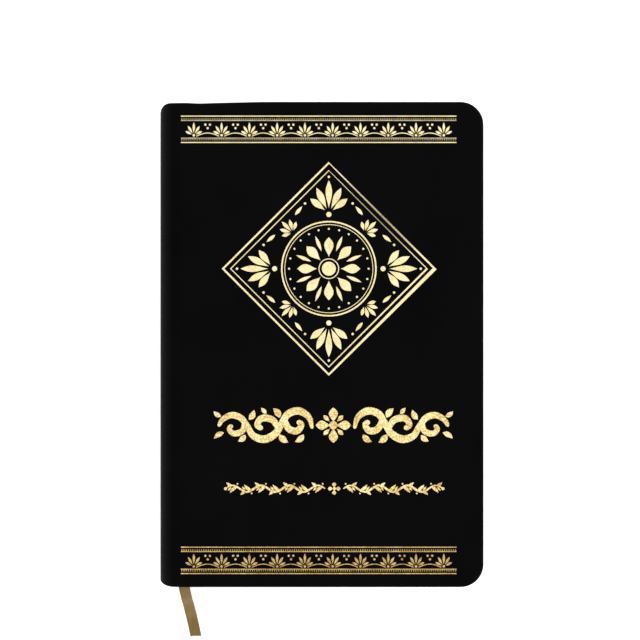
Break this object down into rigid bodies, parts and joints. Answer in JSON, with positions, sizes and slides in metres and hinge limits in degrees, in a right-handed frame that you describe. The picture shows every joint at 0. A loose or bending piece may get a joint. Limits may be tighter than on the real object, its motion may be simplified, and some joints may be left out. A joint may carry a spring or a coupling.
{
  "type": "leather-bound bible",
  "caption": "Leather-bound devotional book with a rounded spine, gold-stamped front cover, sewn page block that opens flat, hinged front cover and a ribbon marker.",
  "frame": {"origin": "under the middle of the closed book, on the plane that its back cover lies on", "axes": "+Z through the thickness from back cover to front cover, +Y towards the head, +X from the spine towards the fore-edge"},
  "size_m": [0.1482, 0.2465, 0.0301],
  "materials": {
    "cover_leather": "smooth matt black leather with a very fine grain",
    "board": "grey-brown binder's board",
    "endpaper": "cream endpaper",
    "page_paper": "thin ivory printing paper, gilt at the trimmed edges",
    "lining_cloth": "open-weave lining cloth",
    "sewing_thread": "waxed linen thread",
    "band_thread": "striped silk thread wound on a cord",
    "ribbon_satin": "tan satin ribbon",
    "gold_foil": "pale gold stamping foil"
  },
  "bodies": {
    "back_half": {"back_cover_leather": "cover_leather", "back_board": "board", "back_pastedown": "endpaper", "back_flyleaf": "endpaper", "signature_01": "page_paper", "signature_02": "page_paper", "signature_03": "page_paper", "signature_04": "page_paper", "signature_05": "page_paper", "signature_06": "page_paper", "spine_leather_back": "cover_leather", "spine_lining_back": "lining_cloth", "headband_back": "band_thread", "tailband_back": "band_thread", "kettle_stitch_head_back": "sewing_thread", "kettle_stitch_tail_back": "sewing_thread"},
    "front_half": {"signature_07": "page_paper", "signature_08": "page_paper", "signature_09": "page_paper", "signature_10": "page_paper", "signature_11": "page_paper", "signature_12": "page_paper", "spine_leather_front": "cover_leather", "spine_lining_front": "lining_cloth", "headband_front": "band_thread", "tailband_front": "band_thread", "kettle_stitch_head_front": "sewing_thread", "kettle_stitch_tail_front": "sewing_thread"},
    "front_cover": {"front_cover_leather": "cover_leather", "front_board": "board", "front_pastedown": "endpaper", "foil_band_head": "gold_foil", "foil_band_tail": "gold_foil", "foil_medallion": "gold_foil", "foil_title_ornament": "gold_foil", "foil_lower_ornament": "gold_foil"},
    "front_endleaf": {"front_flyleaf": "endpaper"},
    "back_leaf_1": {"leaves_back_1": "page_paper"},
    "back_leaf_2": {"leaves_back_2": "page_paper", "ribbon_marker": "ribbon_satin"},
    "front_leaf_1": {"leaves_front_1": "page_paper"},
    "front_leaf_2": {"leaves_front_2": "page_paper"}
  },
  "joints": [
    {"name": "block_opening", "type": "hinge", "parent": "back_half", "child": "front_half", "pos_m": [-0.0743, 0, 0.015], "axis": [0, -1, 0], "range_deg": [0, 179.5]},
    {"name": "front_cover_hinge", "type": "hinge", "parent": "front_half", "child": "front_cover", "pos_m": [-0.05995, 0, 0.03015], "axis": [0, 1, 0], "range_deg": [-179.5, 0]},
    {"name": "front_endleaf_turn", "type": "hinge", "parent": "front_half", "child": "front_endleaf", "pos_m": [-0.05995, 0, 0.03015], "axis": [0, 1, 0], "range_deg": [-9, 0]},
    {"name": "back_leaf_1_lift", "type": "hinge", "parent": "back_half", "child": "back_leaf_1", "pos_m": [-0.0743, 0, 0.015], "axis": [0, -1, 0], "range_deg": [0, 1.8]},
    {"name": "back_leaf_2_lift", "type": "hinge", "parent": "back_half", "child": "back_leaf_2", "pos_m": [-0.0743, 0, 0.015], "axis": [0, -1, 0], "range_deg": [0, 4.5]},
    {"name": "front_leaf_1_lift", "type": "hinge", "parent": "front_half", "child": "front_leaf_1", "pos_m": [-0.0743, 0, 0.015], "axis": [0, 1, 0], "range_deg": [0, 1.8]},
    {"name": "front_leaf_2_lift", "type": "hinge", "parent": "front_half", "child": "front_leaf_2", "pos_m": [-0.0743, 0, 0.015], "axis": [0, 1, 0], "range_deg": [0, 4.5]}
  ],
  "couplings": [
    {"joint": "front_endleaf_turn", "follows": "front_cover_hinge", "ratio": 0.05},
    {"joint": "back_leaf_1_lift", "follows": "block_opening", "ratio": 0.01},
    {"joint": "back_leaf_2_lift", "follows": "block_opening", "ratio": 0.025},
    {"joint": "front_leaf_1_lift", "follows": "block_opening", "ratio": 0.01},
    {"joint": "front_leaf_2_lift", "follows": "block_opening", "ratio": 0.025}
  ]
}
